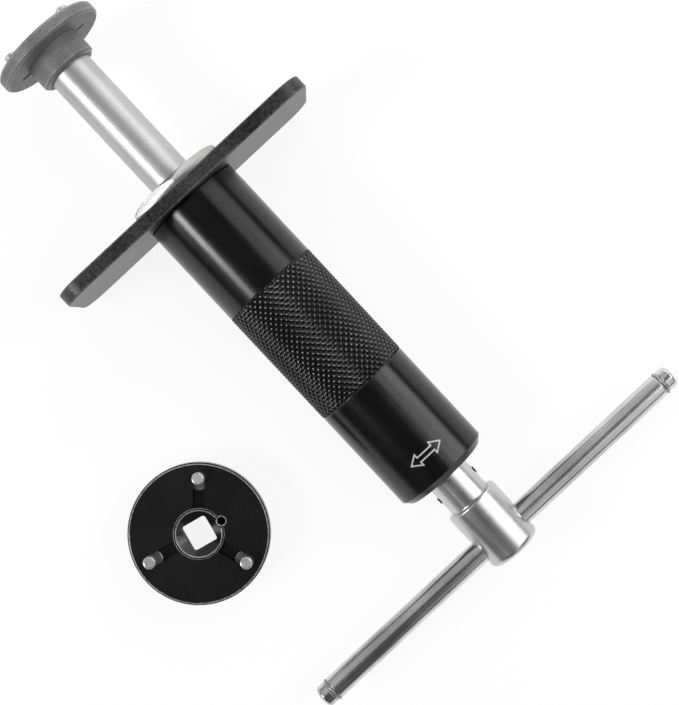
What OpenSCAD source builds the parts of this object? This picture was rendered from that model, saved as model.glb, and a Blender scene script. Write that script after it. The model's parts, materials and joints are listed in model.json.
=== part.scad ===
// Spring-loaded brake caliper piston tool lying on a bench, with a spare pin adapter beside it.
// Millimetres, +Z up. The tool axis runs along X: adapter towards -X, T-handle towards +X.
// Each tool piece is drawn along its own Z axis and then laid down by lay().

/* [Housing] */
// Outside diameter of the housing
body_d = 36; // [32:0.5:44]
// Length of the housing behind the reaction plate
body_len = 128.2; // [115:0.1:150]
// Bevel on the rear edge of the housing
body_bevel = 2.2; // [1:0.1:3]
// Bevel on the front edge of the housing
body_front_bevel = 0.4; // [0.2:0.1:1]
// Diameter of the spring chamber
bore_d = 26; // [25:0.5:28]
// Wall between the plate and the spring chamber
front_wall = 8; // [6:0.5:12]
// Distance from the plate to the knurled band
knurl_start = 39.4; // [30:0.1:45]
// Length of the knurled band
knurl_len = 46.5; // [35:0.5:60]
// Depth of the knurl's root below the housing surface
knurl_root = 0.5; // [0.2:0.05:0.8]

/* [Reaction plate and lock nut] */
// Length of the reaction plate across the tool
plate_len = 108; // [90:1:130]
// Width of the reaction plate
plate_w = 48; // [44:0.5:60]
// Thickness of the reaction plate
plate_t = 5; // [4:0.1:8]
// Corner radius of the reaction plate
plate_corner_r = 9; // [4:0.5:14]
// Diameter of the threaded spigot that carries the plate
spigot_d = 24; // [23.5:0.5:27]
// Width across the flats of the lock nut
nut_af = 36; // [32:0.5:41]
// Thickness of the lock nut
nut_t = 4.2; // [3:0.1:8]
// Distance of the spigot's end below the nut's face
spigot_set = 0.3; // [0.1:0.1:1]

/* [Guides] */
// Outside diameter of the guide bushes
bush_d = 19; // [18.5:0.1:20]
// Outside diameter of the wiper seal
seal_d = 20.6; // [20:0.1:21.4]
// Thickness of the wiper seal
seal_t = 1.9; // [1.2:0.1:3]
// Length of the rear guide plug
plug_len = 11.6; // [8:0.1:16]
// Thickness of the snap ring behind the plug
ring_t = 1.2; // [1:0.1:2]
// Radial width of that snap ring
ring_w = 3; // [2:0.1:4]
// Depth of the snap ring's groove
ring_groove = 1; // [0.6:0.1:1.6]
// Distance from the housing's rear end to the snap ring
ring_set = 3; // [2:0.1:6]

/* [Ram and spring] */
// Diameter of the ram and of the handle's stem
ram_d = 16; // [14:0.1:16.5]
// Reach of the ram's shoulder in front of the plate's rear face
ram_reach = 67.5; // [62:0.5:90]
// Distance of the joint between ram and handle inside the housing's rear end
joint_set = 9.8; // [6:0.1:12]
// Diameter of the tenon at the ram's rear end
tenon_d = 10; // [8:0.5:11]
// Length of the tenon
tenon_len = 21; // [19:0.5:24]
// Size of the square drive across its flats
drive_af = 9.5; // [9:0.05:9.6]
// Length of the square drive
drive_len = 4.6; // [4:0.1:5]
// Thickness of the buffer washer
buffer_t = 2; // [1:0.1:4]
// Length of the stop collar
collar_len = 6; // [5:0.1:10]
// Diameter of the collar's cross pin
collar_pin_d = 3; // [2:0.1:4]
// Thickness of the thrust washer
washer_t = 2; // [1:0.1:4]
// Wire diameter of the return spring
spring_wire = 2.4; // [1.6:0.1:2.8]
// Turns of the return spring
spring_turns = 14; // [8:1:18]
// Diameter of the detent ball
ball_d = 2.6; // [2:0.1:3]
// Depth of the detent hole in the square drive
detent_depth = 6; // [5:0.1:7]
// Wire diameter of the detent spring
detent_wire = 0.35; // [0.25:0.05:0.5]
// Turns of the detent spring
detent_turns = 5; // [3:1:8]

/* [T-handle] */
// Diameter of the handle's head
head_d = 20.2; // [18:0.1:26]
// Length of the handle's head
head_len = 23.8; // [20:0.1:34]
// Distance from the housing's rear end to the head
head_set = 13; // [11:0.1:22]
// Rounding of the head's front rim
head_front_r = 1; // [0.5:0.1:2]
// Rounding of the head's rear rim
head_rear_r = 2.2; // [1:0.1:4]
// Distance from the head's front to the bar
bar_set = 15.9; // [12:0.1:18]
// Diameter of the handle bar
bar_d = 8.6; // [7:0.1:10]
// Length of the handle bar
bar_len = 165.6; // [120:0.1:220]
// Distance that the bar sits off its middle
bar_shift = -2; // [-20:0.1:20]
// Bevel around the bar's hole in the head
bar_hole_bevel = 1.4; // [0.5:0.1:2]
// Diameter of the bar's reduced ends
bar_end_d = 8.2; // [6.6:0.1:9.6]
// Length of the bar's reduced ends
bar_end_len = 3.9; // [3:0.1:10]
// Bevel on the bar's ends
bar_end_bevel = 0.8; // [0.3:0.1:1.5]
// Wire diameter of the bar's snap rings
bar_ring_wire = 0.9; // [0.8:0.1:2]
// Gap on each side of a snap ring in its groove
bar_ring_gap = 0.25; // [0.05:0.05:0.5]
// Height of the snap rings above the bar
bar_ring_proud = 0.3; // [0.1:0.05:0.5]
// Diameter of the pin that holds the handle on the ram
handle_pin_d = 2.5; // [2:0.1:4]
// Distance from the housing's rear end to that pin
handle_pin_set = 6.2; // [4:0.1:9]
// Height of the pin's ends above the stem
handle_pin_proud = 0.4; // [0:0.1:1]

/* [Adapters] */
// Diameter of the adapters' hubs
hub_d = 21.4; // [20.6:0.1:21.4]
// Length of the adapters' hubs
hub_len = 8.65; // [8:0.05:14]
// Bevel on the hubs' rims
hub_bevel = 1; // [0.4:0.1:1.4]
// Diameter of the drive inserts
insert_d = 18.2; // [17.6:0.1:18.6]
// Thickness of the drive inserts
insert_t = 6; // [5.4:0.1:7]
// Rounding of the corners of the inserts' square holes
square_r = 1; // [0.5:0.1:1.1]
// Mouth diameter of the inserts' dished face
dish_d = 16.4; // [14:0.1:17]
// Depth of the dished face
dish_depth = 1.6; // [0.8:0.1:2.4]
// Diameter of the lock screws
screw_d = 4.4; // [3:0.1:5]
// Length of the lock screws
screw_len = 3.6; // [2.5:0.1:4]
// Width across the flats of the lock screws' sockets
screw_af = 2.5; // [1.5:0.1:3]
// Diameter of the adapters' pins
pin_d = 4.5; // [3.5:0.1:5.5]
// Diameter of the pins' shanks, which run between the slots' lips
shank_d = 4.1; // [3:0.1:4.1]
// Thickness of the slots' lips
lip_t = 1.5; // [1.2:0.1:1.8]
// Width of the pins' feet, which run under the lips
foot_w = 6.4; // [5.4:0.1:7]
// Thickness of the pins' feet
foot_t = 1.4; // [1:0.1:1.6]
// Diameter of the two-pin adapter
two_disc_d = 41; // [38:0.5:60]
// Thickness of the two-pin adapter's disc
two_disc_t = 4.45; // [4.2:0.05:5.4]
// Height of its pins above its face
two_proud = 5; // [3:0.1:8]
// Distance of its pins from the axis
two_pin_r = 11.7; // [11.7:0.1:13]
// Travel of its pins along their slots
two_travel = 3; // [1:0.1:3.5]
// Length by which its pins' feet reach outwards
two_foot = 1.2; // [0.5:0.1:2]
// Width of the dirt slots in its rear face
dirt_slot_w = 1.8; // [0.8:0.1:2.4]
// Length of those slots beside the hub
dirt_slot_len = 3.6; // [2:0.1:4]
// Diameter of the three-pin adapter
three_disc_d = 50.4; // [46:0.1:70]
// Thickness of the three-pin adapter's disc
three_disc_t = 5; // [4.2:0.05:5.4]
// Height of its pins above its face
three_proud = 4; // [2:0.1:8]
// Distance of its pins from the axis
three_pin_r = 19.5; // [18:0.1:20.4]
// Length by which its pins' feet reach inwards
three_foot = 2.2; // [0.5:0.1:2.4]
// Bevel on the discs' rims
disc_bevel = 0.7; // [0.3:0.1:1.2]
// Turn of the spare three-pin adapter on the bench
spare_turn = 17; // [0:1:119]
// Distance of the spare adapter from the plate, along the bench
spare_x = 85.4; // [0:0.1:140]
// Distance of the spare adapter from the tool axis, across the bench
spare_y = -78; // [-140:1:-60]

/* [Clearances] */
// Radial gap of a fixed fit
fit_gap = 0.05; // [0.02:0.01:0.1]
// Radial gap of a running fit
run_gap = 0.08; // [0.02:0.01:0.1]
// Gap around a moving piece that isn't guided there
loose_gap = 0.3; // [0.2:0.05:0.5]

/* [Hidden] */
$fn = 96;
// Overrun of a cut past the face it opens
cut = 1;
// Opening of the snap rings, in degrees
ring_opening = 40;
// Pitch of a spring's closed end turns, in wire diameters
closed_pitch = 1.05;
bush_fit_d = ram_d + 2 * run_gap;
knurl_end = knurl_start + knurl_len;
spigot_len = plate_t + nut_t - spigot_set;
seal_seat = seal_t + fit_gap;
plug_rear = body_len - ring_set - ring_t;
plug_front = plug_rear - plug_len;
collar_z = front_wall + buffer_t;
washer_z = collar_z + collar_len;
spring_z = washer_z + washer_t + fit_gap;
spring_len = plug_front - fit_gap - spring_z;
sliding_d = bore_d - 2 * loose_gap;
joint_z = body_len - joint_set;
head_z = body_len + head_set;
handle_pin_z = body_len + handle_pin_set;
bar_z = head_z + bar_set;
bar_hole_d = bar_d + 2 * run_gap;
bar_groove_depth = bar_ring_wire - bar_ring_proud;
bar_ring_y = bar_len / 2 - bar_end_len - bar_ring_gap - bar_ring_wire / 2;
face_z = -(ram_reach + insert_t + fit_gap);
drive_hole_af = drive_af + 2 * run_gap;
// Radius to which the corners of the square drive are turned off
drive_corner_r = 0.66 * drive_af;
ball_seat_d = ball_d + 2 * fit_gap;
ball_x = drive_af / 2 + fit_gap - ball_d / 2;
detent_z = -ram_reach - drive_len / 2;
slot_w = shank_d + 2 * run_gap;
slot_depth = lip_t + foot_t + 2 * run_gap;
// Distance from a pin's axis to the short end of its foot
foot_back = slot_w / 2;
tip_bevel = pin_d / 11;
// Distance of the lock screws below the adapters' faces
screw_set = 0.3;
screw_hole_depth = screw_len + screw_set + fit_gap;

// Angle at which the tool lies, on the plate's long edge and the housing's rear rim
lay_angle = atan((plate_w - body_d) / 2 / (body_len - body_bevel));
axis_h = plate_w / 2 * cos(lay_angle);
front_x = (face_z - two_proud) * cos(lay_angle) - (pin_d / 2 - tip_bevel) * sin(lay_angle);
rear_round_z = head_z + head_len - head_rear_r;
rear_x = rear_round_z * cos(lay_angle) + (head_d / 2 - head_rear_r) * sin(lay_angle) + head_rear_r;
right_y = min(spare_y - three_disc_d / 2, bar_shift - bar_len / 2);
left_y = max(plate_len, bar_len + 2 * bar_shift) / 2;
origin = [-(front_x + rear_x) / 2, -(right_y + left_y) / 2, 0];

// Lays a piece drawn along Z down on the bench
module lay() {
    translate(origin + [0, 0, axis_h]) rotate([0, 90 + lay_angle, 0]) children();
}

// Puts an adapter piece, drawn with its face up at Z = 0, on the end of the ram
module fitted() {
    lay() translate([0, 0, face_z]) rotate([180, 0, 90]) children();
}

// Stands an adapter piece on its hub beside the tool
module spare() {
    translate(origin + [spare_x, spare_y, three_disc_t + hub_len]) rotate(spare_turn) children();
}

// Round tube standing on Z = 0
module tube(outer_d, inner_d, h) {
    difference() {
        cylinder(d = outer_d, h = h);
        translate([0, 0, -cut]) cylinder(d = inner_d, h = h + 2 * cut);
    }
}

// Rectangle with rounded corners, centred
module round_rectangle(x_len, y_len, r) {
    square([x_len, y_len - 2 * r], center = true);
    square([x_len - 2 * r, y_len], center = true);
    for (x = [-1, 1], y = [-1, 1]) translate([x * (x_len / 2 - r), y * (y_len / 2 - r)]) circle(r);
}

// Cylinder along Y, centred
module cross_cylinder(d, len) {
    rotate([90, 0, 0]) cylinder(d = d, h = len, center = true);
}

// Open snap ring of square section
module flat_ring(outer_d, inner_d, h) {
    rotate(ring_opening / 2) rotate_extrude(angle = 360 - ring_opening)
        translate([inner_d / 2, 0]) square([(outer_d - inner_d) / 2, h]);
}

// Height of a coil's centre line after a number of turns, with one closed turn at each end
function coil_height(turn, turns, rise, pitch) =
    turn <= 1 ? turn * pitch
    : turn >= turns - 1 ? rise - (turns - turn) * pitch
    : pitch + (turn - 1) * (rise - 2 * pitch) / (turns - 2);

// Coil spring standing on Z = 0
module coil(mean_r, wire, len, turns, steps = 18, sides = 6) {
    last = turns * steps;
    points = [
        for (i = [0 : last], j = [0 : sides - 1])
            let (turn = i / steps, reach = mean_r + wire / 2 * cos(360 * j / sides))
            [
                reach * cos(360 * turn),
                reach * sin(360 * turn),
                wire / 2 * (1 + sin(360 * j / sides))
                    + coil_height(turn, turns, len - wire, closed_pitch * wire)
            ]
    ];
    walls = [
        for (i = [0 : last - 1], j = [0 : sides - 1])
            let (k = (j + 1) % sides)
            [i * sides + j, (i + 1) * sides + j, (i + 1) * sides + k, i * sides + k]
    ];
    start_cap = [[for (j = [0 : sides - 1]) j]];
    end_cap = [[for (j = [sides - 1 : -1 : 0]) last * sides + j]];
    polyhedron(points, concat(start_cap, walls, end_cap), convexity = 10);
}

// Housing: a thick tube with a threaded front spigot and a band turned down to the knurl's root
module housing() {
    r = body_d / 2;
    color([0.07, 0.07, 0.07]) lay() difference() {
        union() {
            rotate_extrude() polygon([
                [0, 0], [r - body_front_bevel, 0], [r, body_front_bevel],
                [r, knurl_start], [r - knurl_root, knurl_start],
                [r - knurl_root, knurl_end], [r, knurl_end],
                [r, body_len - body_bevel], [r - body_bevel, body_len], [0, body_len]
            ]);
            translate([0, 0, -spigot_len]) cylinder(d = spigot_d, h = spigot_len + cut);
        }
        translate([0, 0, front_wall]) cylinder(d = bore_d, h = body_len);
        translate([0, 0, -spigot_len - cut]) cylinder(d = bush_d + 2 * fit_gap, h = body_len);
        translate([0, 0, -spigot_len - cut]) cylinder(d = seal_d + 2 * fit_gap, h = seal_seat + cut);
        translate([0, 0, plug_rear]) cylinder(d = bore_d + 2 * ring_groove, h = ring_t + fit_gap);
    }
}

module reaction_plate() {
    color([0.16, 0.16, 0.16]) lay() translate([0, 0, -plate_t]) linear_extrude(plate_t) difference() {
        round_rectangle(plate_w, plate_len, plate_corner_r);
        circle(d = spigot_d + 2 * fit_gap);
    }
}

// Thin hexagon nut with its front corners turned off at 30 degrees
module lock_nut() {
    corner_r = nut_af / 2 / cos(30);
    flat_r = nut_af / 2;
    turned = (corner_r - flat_r) * tan(30);
    color([0.8, 0.8, 0.8]) lay() translate([0, 0, -plate_t - nut_t]) difference() {
        intersection() {
            cylinder(r = corner_r, h = nut_t, $fn = 6);
            rotate_extrude() polygon([
                [0, 0], [flat_r, 0], [corner_r, turned], [corner_r + cut, turned],
                [corner_r + cut, nut_t], [0, nut_t]
            ]);
        }
        translate([0, 0, -cut]) cylinder(d = spigot_d + 2 * fit_gap, h = nut_t + 2 * cut);
    }
}

module front_bush() {
    bush_start = -spigot_len + seal_seat;
    color([0.72, 0.55, 0.27]) lay() translate([0, 0, bush_start])
        tube(bush_d, bush_fit_d, front_wall - bush_start);
}

module wiper_seal() {
    lip = seal_t / 2;
    color([0.1, 0.1, 0.1]) lay() translate([0, 0, -spigot_len]) difference() {
        tube(seal_d, bush_fit_d, seal_t);
        translate([0, 0, -lip]) cylinder(d1 = bush_fit_d + 4 * lip, d2 = bush_fit_d, h = 2 * lip);
    }
}

module buffer_washer() {
    color([0.85, 0.83, 0.75]) lay() translate([0, 0, front_wall])
        tube(bore_d - 2 * fit_gap, ram_d + 2 * loose_gap, buffer_t);
}

module rear_plug() {
    color([0.55, 0.56, 0.58]) lay() translate([0, 0, plug_front])
        tube(bore_d - 2 * fit_gap, bush_d + 2 * fit_gap, plug_len);
}

module rear_bush() {
    color([0.72, 0.55, 0.27]) lay() translate([0, 0, plug_front]) tube(bush_d, bush_fit_d, plug_len);
}

module rear_snap_ring() {
    ring_d = bore_d + 2 * ring_groove - 2 * fit_gap;
    color([0.3, 0.3, 0.32]) lay() translate([0, 0, plug_rear])
        flat_ring(ring_d, ring_d - 2 * ring_w, ring_t);
}

module return_spring() {
    mean_r = (sliding_d - spring_wire) / 2 - fit_gap;
    color([0.5, 0.5, 0.52]) lay() translate([0, 0, spring_z])
        coil(mean_r, spring_wire, spring_len, spring_turns);
}

module thrust_washer() {
    color([0.62, 0.62, 0.64]) lay() translate([0, 0, washer_z])
        tube(sliding_d, ram_d + 2 * loose_gap, washer_t);
}

// Ram: smooth rod with a square drive in front and a tenon for the handle behind
module ram() {
    color([0.78, 0.78, 0.79]) lay() difference() {
        union() {
            translate([0, 0, -ram_reach]) cylinder(d = ram_d, h = ram_reach + joint_z);
            translate([0, 0, joint_z]) cylinder(d = tenon_d, h = tenon_len);
            translate([0, 0, -ram_reach - drive_len]) intersection() {
                translate([-drive_af / 2, -drive_af / 2, 0]) cube([drive_af, drive_af, drive_len + cut]);
                cylinder(r = drive_corner_r, h = drive_len + cut);
            }
        }
        translate([0, 0, collar_z + collar_len / 2])
            cross_cylinder(collar_pin_d + 2 * fit_gap, ram_d + cut);
        translate([0, 0, handle_pin_z]) cross_cylinder(handle_pin_d + 2 * fit_gap, ram_d + cut);
        translate([drive_af / 2 - detent_depth, 0, detent_z]) rotate([0, 90, 0])
            cylinder(d = ball_seat_d, h = detent_depth + cut);
    }
}

module stop_collar() {
    color([0.6, 0.6, 0.62]) lay() translate([0, 0, collar_z]) difference() {
        tube(sliding_d, ram_d + 2 * fit_gap, collar_len);
        translate([0, 0, collar_len / 2]) cross_cylinder(collar_pin_d + 2 * fit_gap, bore_d + cut);
    }
}

module collar_pin() {
    pin_len = sliding_d - collar_pin_d / 2;
    color([0.3, 0.3, 0.32]) lay() translate([0, 0, collar_z + collar_len / 2])
        cross_cylinder(collar_pin_d, pin_len);
}

module detent_ball() {
    color([0.85, 0.85, 0.86]) lay() translate([ball_x, 0, detent_z]) sphere(d = ball_d);
}

module detent_spring() {
    floor_x = drive_af / 2 - detent_depth;
    len = ball_x - ball_d / 2 - floor_x - 2 * fit_gap;
    color([0.6, 0.6, 0.6]) lay() translate([floor_x + fit_gap, 0, detent_z]) rotate([0, 90, 0])
        coil((ball_d - detent_wire) / 2 - fit_gap, detent_wire, len, detent_turns, steps = 12);
}

// T-head: stem that sleeves over the ram's tenon, and a head bored across for the bar
module t_head() {
    r = head_d / 2;
    tip_z = head_z + head_len;
    color([0.75, 0.75, 0.76]) lay() difference() {
        union() {
            translate([0, 0, joint_z]) cylinder(d = ram_d, h = head_z - joint_z + cut);
            rotate_extrude() {
                difference() {
                    translate([0, head_z]) square([r, head_len]);
                    translate([r - head_front_r, head_z - cut]) square(head_front_r + cut);
                    translate([r - head_rear_r, tip_z - head_rear_r]) square(head_rear_r + cut);
                }
                translate([r - head_front_r, head_z + head_front_r]) circle(head_front_r);
                translate([r - head_rear_r, tip_z - head_rear_r]) circle(head_rear_r);
            }
        }
        translate([0, 0, joint_z - cut]) cylinder(d = tenon_d + 2 * fit_gap, h = tenon_len + fit_gap + cut);
        translate([0, 0, handle_pin_z]) cross_cylinder(handle_pin_d + 2 * fit_gap, head_d);
        translate([0, 0, bar_z]) {
            cross_cylinder(bar_hole_d, head_d + 2 * cut);
            for (side = [0, 180]) rotate([90, 0, side]) translate([0, 0, r - bar_hole_bevel])
                cylinder(d1 = bar_hole_d, d2 = bar_hole_d + 4 * bar_hole_bevel, h = 2 * bar_hole_bevel);
        }
    }
}

// Slotted spring pin
module handle_pin() {
    pin_len = ram_d + 2 * handle_pin_proud;
    bore = handle_pin_d / 2;
    slit = handle_pin_d / 6;
    color([0.08, 0.08, 0.08]) lay() translate([0, 0, handle_pin_z]) difference() {
        cross_cylinder(handle_pin_d, pin_len);
        cross_cylinder(bore, pin_len + 2 * cut);
        translate([-slit / 2, -pin_len / 2 - cut, 0]) cube([slit, pin_len + 2 * cut, handle_pin_d]);
    }
}

module t_bar() {
    half = bar_len / 2;
    neck = half - bar_end_len;
    groove_r = bar_d / 2 - bar_groove_depth;
    groove_w = bar_ring_wire + 2 * bar_ring_gap;
    outline = [
        [bar_d / 2, neck - groove_w], [groove_r, neck - groove_w], [groove_r, neck],
        [bar_end_d / 2, neck], [bar_end_d / 2, half - bar_end_bevel],
        [bar_end_d / 2 - bar_end_bevel, half], [0, half]
    ];
    mirrored = [for (i = [len(outline) - 1 : -1 : 0]) [outline[i][0], -outline[i][1]]];
    color([0.72, 0.72, 0.73]) lay() translate([0, bar_shift, bar_z]) rotate([-90, 0, 0])
        rotate_extrude() polygon(concat(outline, mirrored));
}

// The two wire rings that keep the bar in the head
module bar_rings() {
    wire_r = bar_ring_wire / 2 - fit_gap;
    ring_r = bar_d / 2 - bar_groove_depth + bar_ring_wire / 2;
    color([0.85, 0.85, 0.86]) lay() for (side = [-1, 1])
        translate([0, bar_shift + side * bar_ring_y, bar_z]) rotate([-90, ring_opening / 2, 0])
            rotate_extrude(angle = 360 - ring_opening) translate([ring_r, 0]) circle(wire_r);
}

// Outline of a round-ended slot along X
module slot_outline(from_x, to_x, w) {
    translate([from_x, -w / 2]) square([to_x - from_x, w]);
    translate([to_x, 0]) circle(d = w);
}

// Radial T-slot for one pin, open at the insert: a gap between two lips, and a wider run for the foot
module pin_slot(shank_end, foot_end) {
    run_w = foot_w + 2 * run_gap;
    translate([0, 0, -slot_depth]) {
        linear_extrude(slot_depth + cut) slot_outline(0, shank_end, slot_w);
        translate([0, -run_w / 2, 0]) cube([foot_end, run_w, slot_depth - lip_t]);
    }
}

// Narrow slot from a T-slot to the disc's rear face, through which dirt falls out
module dirt_slot(disc_t) {
    hub_r = hub_d / 2;
    translate([0, 0, -disc_t - cut]) linear_extrude(disc_t - slot_depth + 2 * cut)
        slot_outline(hub_r, hub_r + dirt_slot_len - dirt_slot_w / 2, dirt_slot_w);
}

// Disc and hub of an adapter, face up at Z = 0, less the slots that are its children
module adapter_body(disc_d, disc_t, screw_angle) {
    r = disc_d / 2;
    hub_r = hub_d / 2;
    back = -disc_t - hub_len;
    insert_r = insert_d / 2 + fit_gap;
    difference() {
        rotate_extrude() polygon([
            [0, back], [hub_r - hub_bevel, back], [hub_r, back + hub_bevel], [hub_r, -disc_t],
            [r - disc_bevel, -disc_t], [r, disc_bevel - disc_t], [r, -disc_bevel],
            [r - disc_bevel, 0], [0, 0]
        ]);
        translate([0, 0, -insert_t]) cylinder(r = insert_r, h = insert_t + cut);
        translate([0, 0, back - cut]) cylinder(d = bush_fit_d, h = hub_len + disc_t + cut);
        rotate(screw_angle) translate([insert_d / 2, 0, -screw_hole_depth])
            cylinder(d = screw_d + 2 * fit_gap, h = screw_hole_depth + cut);
        children();
    }
}

// Drive insert: a plug with a square hole and a dished face, notched by the lock screw
module adapter_insert(screw_angle) {
    color([0.2, 0.2, 0.21]) difference() {
        translate([0, 0, -insert_t]) cylinder(d = insert_d, h = insert_t);
        rotate(screw_angle) translate([0, 0, -insert_t - cut]) linear_extrude(insert_t + 2 * cut)
            round_rectangle(drive_hole_af, drive_hole_af, square_r);
        translate([0, 0, -dish_depth]) cylinder(d1 = drive_hole_af, d2 = dish_d, h = dish_depth);
        cylinder(d = dish_d, h = cut);
        rotate(screw_angle) translate([insert_d / 2, 0, -screw_hole_depth])
            cylinder(d = screw_d + 2 * fit_gap, h = screw_hole_depth + cut);
    }
}

// Socket set screw across the seam between disc and insert
module adapter_screw(screw_angle) {
    edge = screw_d / 10;
    socket_depth = screw_len / 2;
    r = screw_d / 2;
    color([0.45, 0.45, 0.46]) rotate(screw_angle) translate([insert_d / 2, 0, -screw_len - screw_set])
        difference() {
            rotate_extrude()
                polygon([[0, 0], [r, 0], [r, screw_len - edge], [r - edge, screw_len], [0, screw_len]]);
            translate([0, 0, screw_len - socket_depth])
                cylinder(d = screw_af / cos(30), h = socket_depth + cut, $fn = 6);
        }
}

// Adapter pin that stands over the face, on a round-ended foot that runs under the slot's lips
// and reaches along X
module adapter_pin(proud, reach) {
    foot_z = run_gap - slot_depth;
    shank_r = shank_d / 2;
    r = pin_d / 2;
    color([0.7, 0.7, 0.7]) {
        rotate_extrude() polygon([
            [0, foot_z], [shank_r, foot_z], [shank_r, run_gap], [r, run_gap],
            [r, proud - tip_bevel], [r - tip_bevel, proud], [0, proud]
        ]);
        translate([0, 0, foot_z]) linear_extrude(foot_t) intersection() {
            slot_outline(-foot_back, reach - foot_w / 2, foot_w);
            translate([-foot_back, -foot_w / 2]) square([foot_back + reach, foot_w]);
        }
    }
}

module two_pin_body() {
    shank_end = two_pin_r + two_travel;
    foot_end = shank_end + foot_back + two_foot + loose_gap;
    color([0.38, 0.38, 0.38]) fitted() adapter_body(two_disc_d, two_disc_t, 90)
        for (angle = [0, 180]) rotate(angle) {
            pin_slot(shank_end, foot_end);
            dirt_slot(two_disc_t);
        }
}

module two_pin_insert() {
    fitted() adapter_insert(90);
}

module two_pin_screw() {
    fitted() adapter_screw(90);
}

module two_pin(angle) {
    fitted() rotate(angle) translate([two_pin_r, 0, 0])
        adapter_pin(two_proud, foot_back + two_foot);
}

module three_pin_body() {
    foot_end = three_pin_r + foot_back + loose_gap;
    color([0.12, 0.12, 0.12]) spare() adapter_body(three_disc_d, three_disc_t, 60)
        for (angle = [0, 120, 240]) rotate(angle) pin_slot(three_pin_r, foot_end);
}

module three_pin_insert() {
    spare() adapter_insert(60);
}

module three_pin_screw() {
    spare() adapter_screw(60);
}

module three_pin(angle) {
    spare() rotate(angle) translate([three_pin_r, 0, 0]) rotate(180)
        adapter_pin(three_proud, foot_back + three_foot);
}

housing();
reaction_plate();
lock_nut();
front_bush();
wiper_seal();
buffer_washer();
rear_plug();
rear_bush();
rear_snap_ring();
return_spring();
thrust_washer();
ram();
stop_collar();
collar_pin();
detent_ball();
detent_spring();
t_head();
handle_pin();
t_bar();
bar_rings();
two_pin_body();
two_pin_insert();
two_pin_screw();
two_pin(0);  // two_pin_left
two_pin(180);  // two_pin_right
three_pin_body();
three_pin_insert();
three_pin_screw();
three_pin(0);  // three_pin_first
three_pin(120);  // three_pin_second
three_pin(240);  // three_pin_third
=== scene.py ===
"""Finish and fine shapes of a spring-loaded brake caliper piston tool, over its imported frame."""
import json
import math

import bmesh
import bpy
from mathutils import Matrix, Vector

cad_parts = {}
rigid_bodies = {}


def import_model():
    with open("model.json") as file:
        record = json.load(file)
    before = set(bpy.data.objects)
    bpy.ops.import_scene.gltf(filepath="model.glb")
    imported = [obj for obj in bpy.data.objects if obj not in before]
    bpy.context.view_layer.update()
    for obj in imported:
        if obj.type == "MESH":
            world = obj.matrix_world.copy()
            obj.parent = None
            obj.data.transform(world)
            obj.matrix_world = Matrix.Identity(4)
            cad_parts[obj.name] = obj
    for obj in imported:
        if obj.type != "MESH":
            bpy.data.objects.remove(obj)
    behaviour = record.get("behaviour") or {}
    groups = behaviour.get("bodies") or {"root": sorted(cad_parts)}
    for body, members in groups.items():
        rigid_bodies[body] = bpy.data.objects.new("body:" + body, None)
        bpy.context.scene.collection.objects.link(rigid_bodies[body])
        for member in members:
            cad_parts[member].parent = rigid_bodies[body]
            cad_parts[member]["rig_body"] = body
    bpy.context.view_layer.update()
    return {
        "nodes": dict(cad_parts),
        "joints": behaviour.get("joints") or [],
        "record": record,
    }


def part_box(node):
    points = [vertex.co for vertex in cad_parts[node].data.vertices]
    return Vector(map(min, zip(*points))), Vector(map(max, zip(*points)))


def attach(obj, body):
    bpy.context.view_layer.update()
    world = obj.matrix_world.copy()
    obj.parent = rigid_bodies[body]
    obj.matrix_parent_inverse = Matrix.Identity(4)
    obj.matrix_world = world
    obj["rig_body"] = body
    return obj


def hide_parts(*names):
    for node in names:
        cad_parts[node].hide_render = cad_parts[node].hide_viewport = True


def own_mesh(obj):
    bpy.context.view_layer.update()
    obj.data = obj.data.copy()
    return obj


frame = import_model()

# Units and directions
MM = 0.001
UP = Vector((0, 0, 1))
ALONG = Vector((1, 0, 0))
ACROSS = Vector((0, 1, 0))

# Sizes of the tool in millimetres, along its axis from the reaction plate's rear face
BODY_R = 18.0
BODY_LEN = 128.2
BODY_BEVEL = 2.2
BODY_FRONT_BEVEL = 0.4
SPIGOT_R = 12.0
SPIGOT_LEN = 8.9
SEAL_SEAT_R = 10.35
SEAL_SEAT_LEN = 1.95
BUSH_SEAT_R = 9.55
CHAMBER_R = 13.0
CHAMBER_START = 8.0
RING_GROOVE_R = 14.0
RING_GROOVE_START = 124.0
RING_GROOVE_END = 125.25
BAR_Z = 157.1
BAR_SHIFT = -2.0

# Roundings of the barrel's corners in millimetres
SPIGOT_ROUND = 0.4
FRONT_ROUND = 0.15
GRIP_END_ROUND = 0.12
REAR_ROUND = 0.35
REAR_FACE_ROUND = 0.3
MOUTH_ROUND = 0.25
SEAL_SEAT_ROUND = 0.2

# Width of the rounded edges in millimetres, for the pieces that have their own and for the others
EDGES = {
    "reaction_plate": 0.55,
    "lock_nut": 0.1,
    "ram": 0.3,
    "t_head": 0.25,
    "handle_pin": 0.15,
    "t_bar": 0.3,
    "two_pin_body": 0.25,
    "three_pin_body": 0.22,
}
SMALL_EDGE = 0.2

# Adapters in millimetres: reach of the square hole and of the insert's seat, and depth of dish and socket,
# below which the hole and the socket take a painted shade
SQUARE_REACH = 7.0
SEAT_REACH = 10.0
DISH_DEPTH = 1.7
SOCKET_DEPTH = 0.2

# Knurled grip in millimetres, with the starts of each set of grooves and the flat share of a diamond
KNURL_START = 39.4
KNURL_END = 85.9
KNURL_ROOT_R = 17.5
KNURL_GROOVE_R = 17.52
KNURL_CREST_R = 18.12
KNURL_STARTS = 44
KNURL_FLAT = 0.3

# Arrow on the barrel in millimetres, with the strips that bend each of its lines
ARROW_R = 18.02
ARROW_Z = 116.9
ARROW_SHIFT = -0.4
ARROW_LEN = 13.3
ARROW_HEAD_LEN = 3.5
ARROW_HEAD_W = 4.6
ARROW_SHAFT_W = 1.9
ARROW_LINE = 0.5
ARROW_STRIPS = 8

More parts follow.
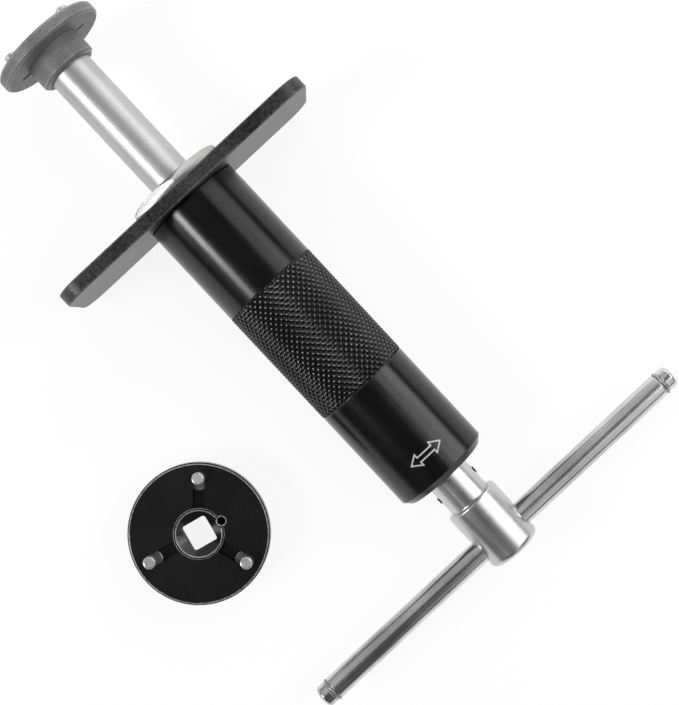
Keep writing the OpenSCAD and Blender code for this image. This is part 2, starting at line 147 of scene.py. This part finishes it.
# Mesh density
TURN_STEPS = 160
ROUND_STEPS = 4
EDGE_STEPS = 3

# Limits that tell points and edges apart, in metres and radians
WELD = 1e-6
ROUND_SLACK = 2e-5
FLAT_ANGLE = math.radians(0.3)
EDGE_ANGLE = math.radians(22)

# Grain of the finishes: its size in millimetres along a piece's own axes
EVEN = (1, 1, 1)
TINY = (0.25, 0.25, 0.25)
FINE = (0.4, 0.4, 0.4)
COARSE = (0.6, 0.6, 0.6)
MOTTLED = (1.2, 1.2, 1.2)
DRAWN = (0.25, 0.25, 30)
STREAKED = (0.5, 0.5, 40)
TURNED = (3, 3, 0.15)
GRAIN_DETAIL = 5.0

# Smudges on the finishes, and the levels of noise between which a finish varies
SMUDGE_SCALE = 45.0
SMUDGE_DETAIL = 3.0
SMUDGE_SHARE = 0.5
NOISE_LOW = 0.4
NOISE_HIGH = 0.6

# Camera: straight above the tool, at the photograph's distance and turn
CAMERA_OFFSET = Vector((0.0838, 0.0016, 0))
CAMERA_HEIGHT = 0.536
CAMERA_RIGHT = Vector((0.6818, 0.7315, 0))
CAMERA_LENS = 76.0
CAMERA_SENSOR = 36.0
CAMERA_SHIFT = (-0.0312, 0.0333)

# Floor: half its side in metres, its drop below the bench in millimetres, and its levels, where 1 is white
FLOOR_HALF = 4.0
FLOOR_DROP = 0.1
FLOOR_GLOW = 0.88
FLOOR_SEEN = 0.15
FLOOR_BOUNCE = 0.7

# Levels of the surround and its backdrop, and the elevations between which one fades into the other
SURROUND = 0.09
BACKDROP = 0.9
BACKDROP_LOW = math.radians(0.5)
BACKDROP_HIGH = math.radians(7)

# Soft boxes: name, place, aim, width and height in metres, and brightness
LAMPS = [
    ("left_strip", (-0.24, -0.80, 0.82), (-0.03, 0.01, 0.03), 0.42, 0.24, 15.0),
    ("left_low", (-0.32, -1.00, 0.55), (-0.05, 0.01, 0.03), 0.34, 0.3, 2.8),
    ("right_low", (0.195, 1.08, 0.62), (0.02, 0.01, 0.03), 0.45, 0.45, 3.2),
    ("right_high", (0.195, 0.80, 0.96), (0.02, 0.01, 0.03), 0.45, 0.45, 1.7),
    ("right_front", (-0.37, 0.95, 0.80), (-0.05, 0.01, 0.03), 0.68, 0.9, 1.25),
    ("side_card", (0.85, 0.20, 0.80), (0.12, 0.04, 0.03), 1.2, 0.4, 0.7),
    ("rear_box", (0.46, 0.62, 1.00), (0.11, 0.01, 0.02), 0.40, 0.7, 2.2),
    ("front_box", (-0.30, -0.06, 1.20), (-0.09, 0.01, 0.02), 0.28, 0.7, 0.5),
    ("front_wash", (-0.90, 0.00, 0.80), (0.05, 0.00, 0.02), 1.1, 1.2, 0.5),
    ("top_card", (-0.95, 0.90, 0.35), (-0.02, -0.06, 0.02), 1.4, 0.5, 2.5),
]

JOINTS = {joint["name"]: joint for joint in frame["joints"]}
MOUNTS = {mount["name"]: mount for mount in frame["record"]["mounts"]}
SLOTS = {part["node"]: part["material_slot"] for part in frame["record"]["subparts"]}


def placed(origin, along, side):
    """Matrix that stands a piece at origin, with its own Z along one direction and its X to a side."""
    z = Vector(along).normalized()
    x = Vector(side)
    x = (x - x.dot(z) * z).normalized()
    matrix = Matrix((x, z.cross(x), z)).transposed().to_4x4()
    matrix.translation = Vector(origin)
    return matrix


# Frames of the tool, its bar, the two adapters and the spare adapter's lock screw
TOOL = placed(JOINTS["spin"]["pos_m"], JOINTS["spin"]["axis"], -UP)
BAR = placed(TOOL @ Vector((0, BAR_SHIFT * MM, BAR_Z * MM)), ACROSS, UP)
FITTED = placed(MOUNTS["piston_pins"]["pos_m"], MOUNTS["piston_pins"]["axis"], ACROSS)
SPARE = placed(MOUNTS["spare_pins"]["pos_m"], UP, ALONG)
screw_low, screw_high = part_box("three_pin_screw")
screw_top = (screw_low + screw_high) / 2
screw_top.z = screw_high.z
SCREW = placed(screw_top, UP, ALONG)


# Mesh helpers


def rounded(corners):
    """Closed outline of (radius, height, rounding) corners with each rounding drawn as an arc."""
    outline = []
    for i, (r, z, rounding) in enumerate(corners):
        here = Vector((r, z))
        if rounding == 0:
            outline.append(here)
            continue
        before = (Vector(corners[i - 1][:2]) - here).normalized()
        after = (Vector(corners[(i + 1) % len(corners)][:2]) - here).normalized()
        half = before.angle(after) / 2
        start = here + before * rounding / math.tan(half)
        end = here + after * rounding / math.tan(half)
        centre = here + (before + after).normalized() * rounding / math.sin(half)
        sweep = (start - centre).angle_signed(end - centre)
        for step in range(ROUND_STEPS + 1):
            turned = Matrix.Rotation(-sweep * step / ROUND_STEPS, 2) @ (start - centre)
            outline.append(centre + turned)
    return outline


def new_piece(name, mesh, place, node=None, body=None):
    """Object for a mesh, put in place, riding on its body and showing instead of its CAD node."""
    piece = bpy.data.objects.new(name, mesh)
    bpy.context.scene.collection.objects.link(piece)
    piece.matrix_world = place
    if node:
        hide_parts(node)
        body = frame["nodes"][node]["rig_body"]
    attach(piece, body)
    return piece


def mesh_from(name, points, faces, material, smooth=True):
    """Mesh of points in millimetres."""
    mesh = bpy.data.meshes.new(name)
    mesh.from_pydata([Vector(p) * MM for p in points], [], faces)
    mesh.polygons.foreach_set("use_smooth", [smooth] * len(mesh.polygons))
    mesh.materials.append(material)
    return mesh


def lathe(name, corners, material):
    """Solid turned around Z from a closed outline of (radius, height, rounding) corners."""
    outline = rounded(corners)
    count = len(outline)
    points = [
        (p.x * math.cos(angle), p.x * math.sin(angle), p.y)
        for angle in (2 * math.pi * k / TURN_STEPS for k in range(TURN_STEPS))
        for p in outline
    ]
    faces = []
    for k in range(TURN_STEPS):
        here = k * count
        there = (k + 1) % TURN_STEPS * count
        for i in range(count):
            j = (i + 1) % count
            faces.append((here + i, there + i, there + j, here + j))
    return mesh_from(name, points, faces, material)


def even_normals(piece):
    """Shading that keeps large faces flat beside their rounded edges."""
    normals = piece.modifiers.new("even_normals", "WEIGHTED_NORMAL")
    normals.keep_sharp = True


def weigh_edges(work, inner, core):
    """Full rounding for convex edges around Z outside the core radius, and the inner share for others.

    An edge that gets no rounding stays sharp in the shading.
    """
    weights = work.edges.layers.float.new("bevel_weight_edge")
    for line in work.edges:
        line.smooth = True
        if line.calc_face_angle(0) < EDGE_ANGLE:
            continue
        line.smooth = False
        if not line.is_convex:
            continue
        start, end = (vertex.co for vertex in line.verts)
        level = abs(start.z - end.z) < ROUND_SLACK
        around = abs(start.xy.length - end.xy.length) < ROUND_SLACK
        outside = start.xy.length > core * MM
        line[weights] = 1.0 if level and around and outside else inner
        line.smooth = line[weights] > 0


def clean_copy(node, place, inner, core):
    """Copy of a CAD node's mesh in the given frame, with flat faces merged and edges weighed."""
    mesh = frame["nodes"][node].data.copy()
    mesh.transform(place.inverted())
    if "custom_normal" in mesh.attributes:
        mesh.attributes.remove(mesh.attributes["custom_normal"])
    work = bmesh.new()
    work.from_mesh(mesh)
    bmesh.ops.remove_doubles(work, verts=work.verts, dist=WELD)
    bmesh.ops.dissolve_limit(work, angle_limit=FLAT_ANGLE, verts=work.verts, edges=work.edges)
    for face in work.faces:
        face.smooth = True
    weigh_edges(work, inner, core)
    work.to_mesh(mesh)
    work.free()
    mesh.materials.clear()
    return mesh


def finished(node, place, edge_wear_and_highlight=None, painted_shade=None, depth=0.0, finish=None, inner=1.0, core=0.0):
    """Copy of a CAD node with rounded edges, in its own finish or the one given.

    The finish of those edges is lighter, partly from wear and partly as a painted highlight,
    and the darker finish of what lies deeper than so many millimetres is a painted shade.
    Inner is the share of the rounding on edges that don't run around the piece, or lie in its core.
    """
    mesh = clean_copy(node, place, inner, core)
    mesh.materials.append(finish or MATERIALS[SLOTS[node]])
    piece = new_piece(node + "_finish", mesh, place, node)
    bevel = piece.modifiers.new("edges", "BEVEL")
    bevel.width = EDGES.get(node, SMALL_EDGE) * MM
    bevel.segments = EDGE_STEPS
    bevel.limit_method = "WEIGHT"
    bevel.use_clamp_overlap = False
    # Lighter edges, partly from wear and partly as a painted highlight
    if edge_wear_and_highlight:
        mesh.materials.append(edge_wear_and_highlight)
        bevel.material = 1
    # Painted shade: a darker finish on what lies deeper than the given depth
    if painted_shade:
        mesh.materials.append(painted_shade)
        for face in mesh.polygons:
            if face.center.z < -depth * MM:
                face.material_index = len(mesh.materials) - 1
    even_normals(piece)


# Materials


def grey(level):
    """Colour without a hue."""
    return (level, level, level)


def math_node(nodes, operation, value=None):
    """Math node, with its second value set where one is given."""
    node = nodes.new("ShaderNodeMath")
    node.operation = operation
    if value is not None:
        node.inputs[1].default_value = value
    return node


def noise_node(nodes, detail, scale=1.0):
    """Noise with so many waves to a unit of its coordinates."""
    noise = nodes.new("ShaderNodeTexNoise")
    noise.inputs["Scale"].default_value = scale
    noise.inputs["Detail"].default_value = detail
    return noise


def unevenness(nodes, link, grain):
    """Outputs of the grain by itself, and of the grain mixed with smudges."""
    place = nodes.new("ShaderNodeTexCoord")
    stretch = nodes.new("ShaderNodeMapping")
    stretch.inputs["Scale"].default_value = [1 / (size * MM) for size in grain]
    fine = noise_node(nodes, GRAIN_DETAIL)
    smudge = noise_node(nodes, SMUDGE_DETAIL, SMUDGE_SCALE)
    share = math_node(nodes, "MULTIPLY", SMUDGE_SHARE)
    both = math_node(nodes, "MULTIPLY_ADD", 1 - SMUDGE_SHARE)
    link(place.outputs["Object"], stretch.inputs["Vector"])
    link(stretch.outputs["Vector"], fine.inputs["Vector"])
    link(place.outputs["Object"], smudge.inputs["Vector"])
    link(smudge.outputs["Fac"], share.inputs[0])
    link(fine.outputs["Fac"], both.inputs[0])
    link(share.outputs["Value"], both.inputs[2])
    return fine.outputs["Fac"], both.outputs["Value"]


def surface(
    name, color, roughness, metallic=0.0, shade=0.06, spread=0.03, grain=EVEN, relief=0.002, gloss=0.5
):
    """Finish with two sizes of unevenness: grain, in millimetres along the piece's axes, and smudges.

    Shade is the share by which the colour varies, spread that by which the roughness does, relief the
    height of the grain in millimetres and gloss the strength of mirrored light on what isn't metal.
    """
    material = bpy.data.materials.new(name)
    material.use_nodes = True
    nodes = material.node_tree.nodes
    link = material.node_tree.links.new
    shader = nodes["Principled BSDF"]
    shader.inputs["Metallic"].default_value = metallic
    shader.inputs["Specular IOR Level"].default_value = gloss
    tones = nodes.new("ShaderNodeValToRGB")
    low, high = tones.color_ramp.elements
    low.position, high.position = NOISE_LOW, NOISE_HIGH
    low.color = [c * (1 - shade) for c in color] + [1]
    high.color = [min(1, c * (1 + shade)) for c in color] + [1]
    polish = nodes.new("ShaderNodeMapRange")
    polish.inputs["From Min"].default_value = NOISE_LOW
    polish.inputs["From Max"].default_value = NOISE_HIGH
    polish.inputs["To Min"].default_value = roughness - spread
    polish.inputs["To Max"].default_value = roughness + spread
    bump = nodes.new("ShaderNodeBump")
    bump.inputs["Distance"].default_value = relief * MM
    fine, both = unevenness(nodes, link, grain)
    link(both, tones.inputs["Fac"])
    link(both, polish.inputs["Value"])
    link(fine, bump.inputs["Height"])
    link(tones.outputs["Color"], shader.inputs["Base Color"])
    link(polish.outputs["Result"], shader.inputs["Roughness"])
    link(bump.outputs["Normal"], shader.inputs["Normal"])
    return material


# Finish of each material slot
MATERIALS = {
    "black_body": surface("black_coating", grey(0.002), 0.22, shade=0.2, grain=COARSE),
    "plate_black": surface("plate_coating", grey(0.028), 0.36, shade=0.9, grain=MOTTLED, relief=0.12),
    "zinc": surface(
        "bright_zinc", (0.38, 0.38, 0.375), 0.34, metallic=1.0, shade=0.12, grain=COARSE, relief=0.010
    ),
    "bronze": surface(
        "sintered_bronze", (0.56, 0.38, 0.17), 0.42, metallic=1.0, grain=TINY, relief=0.004
    ),
    "rubber": surface("black_rubber", grey(0.015), 0.62, grain=FINE, relief=0.004),
    "nylon": surface("natural_nylon", (0.72, 0.70, 0.62), 0.48, relief=0.001),
    "inner_steel": surface(
        "turned_steel", (0.46, 0.46, 0.47), 0.34, metallic=1.0, grain=TURNED, relief=0.003
    ),
    "spring_steel": surface("oiled_wire", (0.30, 0.30, 0.32), 0.30, metallic=1.0, grain=FINE),
    "ram_steel": surface(
        "ground_steel", grey(0.54), 0.45, metallic=1.0, shade=0.08, grain=DRAWN, relief=0.003
    ),
    "handle_steel": surface(
        "nickel_steel", grey(0.60), 0.32, metallic=1.0, shade=0.15, spread=0.04, grain=DRAWN, relief=0.006
    ),
    "black_pin": surface("black_oxide_pin", grey(0.012), 0.40, grain=TINY),
    "grey_adapter": surface("grey_phosphate", grey(0.190), 0.48, shade=0.3, grain=COARSE, relief=0.02),
    "black_adapter": surface("black_oxide", grey(0.007), 0.26, shade=0.2, grain=FINE),
    "pin_steel": surface(
        "pin_steel", grey(0.56), 0.42, metallic=0.6, shade=0.3, grain=FINE, relief=0.006
    ),
    "screw_steel": surface("screw_oxide", grey(0.03), 0.34, metallic=0.4, grain=TINY),
}

# Finishes of edges and crests, lighter partly from wear and partly as a painted highlight,
# of deep parts as a painted shade, and of other parts of a piece
PLATE_EDGE_WEAR_AND_HIGHLIGHT = surface("plate_edge_wear_and_highlight", grey(0.085), 0.34, shade=0.7, grain=MOTTLED, relief=0.05)
GREY_EDGE_WEAR_AND_HIGHLIGHT = surface("grey_edge_wear_and_highlight", grey(0.30), 0.36, metallic=0.3, shade=0.35, grain=COARSE)
BLACK_WEAR_AND_HIGHLIGHT = surface("black_wear_and_highlight", grey(0.34), 0.36, metallic=0.2, shade=0.35, grain=MOTTLED)
DULL_GROOVE = surface("dull_groove", grey(0.002), 0.20, shade=0.2, grain=COARSE, gloss=0.36)
# Knurl crests, lighter partly from wear and partly as a painted highlight
CREST_WEAR_AND_HIGHLIGHT = surface("knurl_crest_wear_and_highlight", grey(0.17), 0.32, metallic=0.7, shade=0.7, grain=FINE)
# Lighter steel edges, partly from wear and partly as a painted highlight
STEEL_EDGE_WEAR_AND_HIGHLIGHT = surface("steel_edge_wear_and_highlight", grey(0.72), 0.30, metallic=1.0, shade=0.08, grain=FINE)
DRAWN_BAR = surface(
    "drawn_bar", grey(0.60), 0.23, metallic=1.0, shade=0.30, grain=STREAKED, relief=0.010
)
DISHED = surface("dished_steel", grey(0.04), 0.16, metallic=0.8, shade=0.2, grain=FINE)
# Painted shade on the pins' feet down in their slots
PAINTED_SHADE_STEEL = surface("painted_shade_foot", grey(0.15), 0.40, metallic=0.3, shade=0.2, grain=FINE)
MARKING = surface("etched_marking", grey(0.62), 0.55, shade=0.08, grain=TINY, relief=0.004)

for node, shown in frame["nodes"].items():
    shown.data.materials.clear()
    shown.data.materials.append(MATERIALS[SLOTS[node]])


# Barrel with its knurled grip and arrow


def barrel():
    """Turned barrel with softened edges, and grip ends that run out at a slope."""
    run_out = (BODY_R - KNURL_ROOT_R) / 2
    return lathe("barrel", [
        (SPIGOT_R, -SPIGOT_LEN, SPIGOT_ROUND),
        (SPIGOT_R, 0, 0),
        (BODY_R - BODY_FRONT_BEVEL, 0, 0),
        (BODY_R, BODY_FRONT_BEVEL, FRONT_ROUND),
        (BODY_R, KNURL_START - run_out, GRIP_END_ROUND),
        (KNURL_ROOT_R, KNURL_START + run_out, 0),
        (KNURL_ROOT_R, KNURL_END - run_out, 0),
        (BODY_R, KNURL_END + run_out, GRIP_END_ROUND),
        (BODY_R, BODY_LEN - BODY_BEVEL, REAR_ROUND),
        (BODY_R - BODY_BEVEL, BODY_LEN, REAR_FACE_ROUND),
        (CHAMBER_R, BODY_LEN, MOUTH_ROUND),
        (CHAMBER_R, RING_GROOVE_END, 0),
        (RING_GROOVE_R, RING_GROOVE_END, 0),
        (RING_GROOVE_R, RING_GROOVE_START, 0),
        (CHAMBER_R, RING_GROOVE_START, 0),
        (CHAMBER_R, CHAMBER_START, 0),
        (BUSH_SEAT_R, CHAMBER_START, 0),
        (BUSH_SEAT_R, SEAL_SEAT_LEN - SPIGOT_LEN, 0),
        (SEAL_SEAT_R, SEAL_SEAT_LEN - SPIGOT_LEN, 0),
        (SEAL_SEAT_R, -SPIGOT_LEN, SEAL_SEAT_ROUND),
    ], MATERIALS["black_body"])


def knurl_points():
    """Points and faces of the diamonds between two crossing sets of helical grooves, crest first.

    Its rows start before the band and end past it, because knurl() cuts both ends off square.
    """
    step = math.pi / KNURL_STARTS
    rise = step * KNURL_CREST_R
    rows = math.ceil((KNURL_END - KNURL_START) / rise)
    around = [(1, 0), (0, 1), (-1, 0), (0, -1)]
    points, faces, corner_at = [], [], {}

    def at(r, turn, row):
        angle = turn * step
        return (r * math.cos(angle), r * math.sin(angle), KNURL_START + row * rise)

    def corner(turn, row):
        key = (turn % (2 * KNURL_STARTS), row)
        if key not in corner_at:
            corner_at[key] = len(points)
            points.append(at(KNURL_GROOVE_R, turn, row))
        return corner_at[key]

    for row in range(-1, rows + 2):
        for turn in range((row + 1) % 2, 2 * KNURL_STARTS, 2):
            low = [corner(turn + t, row + z) for t, z in around]
            top = list(range(len(points), len(points) + len(around)))
            points.extend(at(KNURL_CREST_R, turn + t * KNURL_FLAT, row + z * KNURL_FLAT) for t, z in around)
            faces.append(top)
            faces.extend((low[i - 1], low[i], top[i], top[i - 1]) for i in range(len(around)))
    return points, faces


def knurl():
    """Knurled band, cut off square at both ends, with crests that are lighter partly from wear and partly
    as a painted highlight.
    """
    points, faces = knurl_points()
    mesh = mesh_from("grip_knurl", points, faces, DULL_GROOVE)
    mesh.materials.append(CREST_WEAR_AND_HIGHLIGHT)
    work = bmesh.new()
    work.from_mesh(mesh)
    # Crest faces take the lighter finish, partly a painted highlight
    crest = KNURL_CREST_R * MM - WELD
    for face in work.faces:
        face.material_index = int(all(v.co.xy.length > crest for v in face.verts))
    for height, side in ((KNURL_START, -1), (KNURL_END, 1)):
        everything = [*work.verts, *work.edges, *work.faces]
        cut = bmesh.ops.bisect_plane(
            work, geom=everything, plane_co=(0, 0, height * MM), plane_no=(0, 0, side), clear_outer=True
        )
        for vertex in (v for v in cut["geom_cut"] if isinstance(v, bmesh.types.BMVert)):
            vertex.co.xy = vertex.co.xy.normalized() * KNURL_GROOVE_R * MM
    for line in work.edges:
        line.smooth = any(v.co.xy.length > KNURL_GROOVE_R * MM + WELD for v in line.verts)
    work.to_mesh(mesh)
    work.free()
    return mesh


def arrow_corners():
    """Corners of a two-headed arrow around its middle."""
    tip = ARROW_LEN / 2
    neck = tip - ARROW_HEAD_LEN
    quarter = [(tip, 0), (neck, ARROW_HEAD_W / 2), (neck, ARROW_SHAFT_W / 2)]
    upper = quarter + [(-x, y) for x, y in reversed(quarter)]
    lower = [(x, -y) for x, y in reversed(upper[1:-1])]
    return [Vector(p) for p in upper + lower]


def mitred(corners, i, side):
    """Corner of a closed outline, moved off by half a line's width to one side."""
    here = corners[i % len(corners)]
    before = (here - corners[i % len(corners) - 1]).normalized()
    after = (corners[(i + 1) % len(corners)] - here).normalized()
    normal = Vector((-before.y - after.y, before.x + after.x))
    return here + normal / (1 + before.dot(after)) * side * ARROW_LINE / 2


def arrow():
    """Outlined arrow, etched across the barrel near its rear end."""
    corners = arrow_corners()
    points, faces = [], []
    for i in range(len(corners)):
        base = len(points)
        for k in range(ARROW_STRIPS + 1):
            for side in (-1, 1):
                flat = mitred(corners, i, side).lerp(mitred(corners, i + 1, side), k / ARROW_STRIPS)
                angle = math.pi - (flat.x + ARROW_SHIFT) / ARROW_R
                points.append((ARROW_R * math.cos(angle), ARROW_R * math.sin(angle), ARROW_Z + flat.y))
        for start in range(base, base + 2 * ARROW_STRIPS, 2):
            faces.append((start, start + 1, start + 3, start + 2))
    return mesh_from("arrow", points, faces, MARKING, smooth=False)


def return_spring():
    """Copy of the return spring's coil in the tool's frame, with a mesh of its own, shown instead of its
    CAD node.
    """
    mesh = frame["nodes"]["return_spring"].data.copy()
    mesh.transform(TOOL.inverted())
    coil = new_piece("return_spring_coil", mesh, TOOL, "return_spring")
    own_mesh(coil)


even_normals(new_piece("barrel", barrel(), TOOL, "housing"))
return_spring()
new_piece("grip_knurl", knurl(), TOOL, body="barrel")
new_piece("arrow", arrow(), TOOL, body="barrel")

# Pieces on the tool axis
finished("reaction_plate", TOOL, PLATE_EDGE_WEAR_AND_HIGHLIGHT)
finished("lock_nut", TOOL, inner=0)
finished("ram", TOOL)
finished("t_head", TOOL, STEEL_EDGE_WEAR_AND_HIGHLIGHT, inner=0)
finished("handle_pin", TOOL)
finished("t_bar", BAR, finish=DRAWN_BAR)

# Fitted adapter
finished("two_pin_body", FITTED, GREY_EDGE_WEAR_AND_HIGHLIGHT, inner=0)
finished("two_pin_insert", FITTED, GREY_EDGE_WEAR_AND_HIGHLIGHT, inner=0, core=SQUARE_REACH)
finished("two_pin_screw", FITTED, STEEL_EDGE_WEAR_AND_HIGHLIGHT)
# The pins' feet down in their slots take a painted shade
for node in ("two_pin_left", "two_pin_right"):
    finished(node, FITTED, STEEL_EDGE_WEAR_AND_HIGHLIGHT, PAINTED_SHADE_STEEL)

# Spare adapter, with painted shade as a matt black finish down the hole under its dish and in the socket
# of its bare screw, whose lighter finish is partly a painted highlight
finished("three_pin_body", SPARE, BLACK_WEAR_AND_HIGHLIGHT, inner=0, core=SEAT_REACH)
finished(
    "three_pin_insert", SPARE, BLACK_WEAR_AND_HIGHLIGHT, MATERIALS["rubber"], DISH_DEPTH, DISHED, inner=0,
    core=SQUARE_REACH,
)
finished("three_pin_screw", SCREW, BLACK_WEAR_AND_HIGHLIGHT, MATERIALS["black_pin"], SOCKET_DEPTH, BLACK_WEAR_AND_HIGHLIGHT, inner=0)
# The pins' feet down in their slots take a painted shade
for node in ("three_pin_first", "three_pin_second", "three_pin_third"):
    finished(node, SPARE, STEEL_EDGE_WEAR_AND_HIGHLIGHT, PAINTED_SHADE_STEEL)


# Stage


def floor_material():
    """White where it is seen, under a faint shadow, and matt where it only throws light back."""
    material = bpy.data.materials.new("floor")
    material.use_nodes = True
    nodes = material.node_tree.nodes
    link = material.node_tree.links.new
    nodes.remove(nodes["Principled BSDF"])
    bounce = nodes.new("ShaderNodeBsdfDiffuse")
    bounce.inputs["Color"].default_value = (*grey(FLOOR_BOUNCE), 1)
    seen = nodes.new("ShaderNodeBsdfDiffuse")
    seen.inputs["Color"].default_value = (*grey(FLOOR_SEEN), 1)
    glow = nodes.new("ShaderNodeEmission")
    glow.inputs["Strength"].default_value = FLOOR_GLOW
    white = nodes.new("ShaderNodeAddShader")
    path = nodes.new("ShaderNodeLightPath")
    mirrored = math_node(nodes, "MAXIMUM")
    shown = math_node(nodes, "MAXIMUM")
    choice = nodes.new("ShaderNodeMixShader")
    link(seen.outputs["BSDF"], white.inputs[0])
    link(glow.outputs["Emission"], white.inputs[1])
    link(path.outputs["Is Glossy Ray"], mirrored.inputs[0])
    link(path.outputs["Is Transmission Ray"], mirrored.inputs[1])
    link(path.outputs["Is Camera Ray"], shown.inputs[0])
    link(mirrored.outputs["Value"], shown.inputs[1])
    link(shown.outputs["Value"], choice.inputs["Fac"])
    link(bounce.outputs["BSDF"], choice.inputs[1])
    link(white.outputs["Shader"], choice.inputs[2])
    link(choice.outputs["Shader"], nodes["Material Output"].inputs["Surface"])
    return material


def floor():
    """Square floor, just below the bench plane on which the tool lies."""
    mesh = bpy.data.meshes.new("floor")
    corners = [(x * FLOOR_HALF, y * FLOOR_HALF, 0) for x, y in ((-1, -1), (1, -1), (1, 1), (-1, 1))]
    mesh.from_pydata(corners, [], [(0, 1, 2, 3)])
    mesh.materials.append(floor_material())
    ground = bpy.data.objects.new("floor", mesh)
    bpy.context.scene.collection.objects.link(ground)
    ground.location.z = -FLOOR_DROP * MM


def surround():
    """Dim surround over a low pale backdrop that goes on from the floor all around."""
    world = bpy.data.worlds.new("surround")
    bpy.context.scene.world = world
    world.use_nodes = True
    nodes = world.node_tree.nodes
    link = world.node_tree.links.new
    direction = nodes.new("ShaderNodeTexCoord")
    parts = nodes.new("ShaderNodeSeparateXYZ")
    level = nodes.new("ShaderNodeMapRange")
    level.interpolation_type = "SMOOTHSTEP"
    level.inputs["From Min"].default_value = math.sin(BACKDROP_LOW)
    level.inputs["From Max"].default_value = math.sin(BACKDROP_HIGH)
    level.inputs["To Min"].default_value = BACKDROP
    level.inputs["To Max"].default_value = SURROUND
    link(direction.outputs["Generated"], parts.inputs["Vector"])
    link(parts.outputs["Z"], level.inputs["Value"])
    link(level.outputs["Result"], nodes["Background"].inputs["Strength"])
    nodes["Background"].inputs["Color"].default_value = (*grey(1), 1)


def soft_box(name, location, target, width, height, brightness):
    """Rectangular lamp that looks equally bright whatever its size."""
    lamp = bpy.data.lights.new(name, "AREA")
    lamp.shape = "RECTANGLE"
    lamp.size = width
    lamp.size_y = height
    lamp.energy = brightness * math.pi * width * height
    holder = bpy.data.objects.new(name, lamp)
    bpy.context.scene.collection.objects.link(holder)
    holder.matrix_world = placed(location, Vector(location) - Vector(target), ALONG)


def camera():
    """Camera straight above, as the photograph was taken."""
    lens = bpy.data.cameras.new("camera")
    lens.sensor_width = CAMERA_SENSOR
    lens.lens = CAMERA_LENS
    lens.shift_x, lens.shift_y = CAMERA_SHIFT
    holder = bpy.data.objects.new("camera", lens)
    bpy.context.scene.collection.objects.link(holder)
    place = TOOL.translation + CAMERA_OFFSET
    place.z = CAMERA_HEIGHT
    holder.matrix_world = placed(place, UP, CAMERA_RIGHT)
    bpy.context.scene.camera = holder


floor()
surround()
camera()
for lamp in LAMPS:
    soft_box(*lamp)
bpy.context.scene.view_settings.view_transform = "Standard"
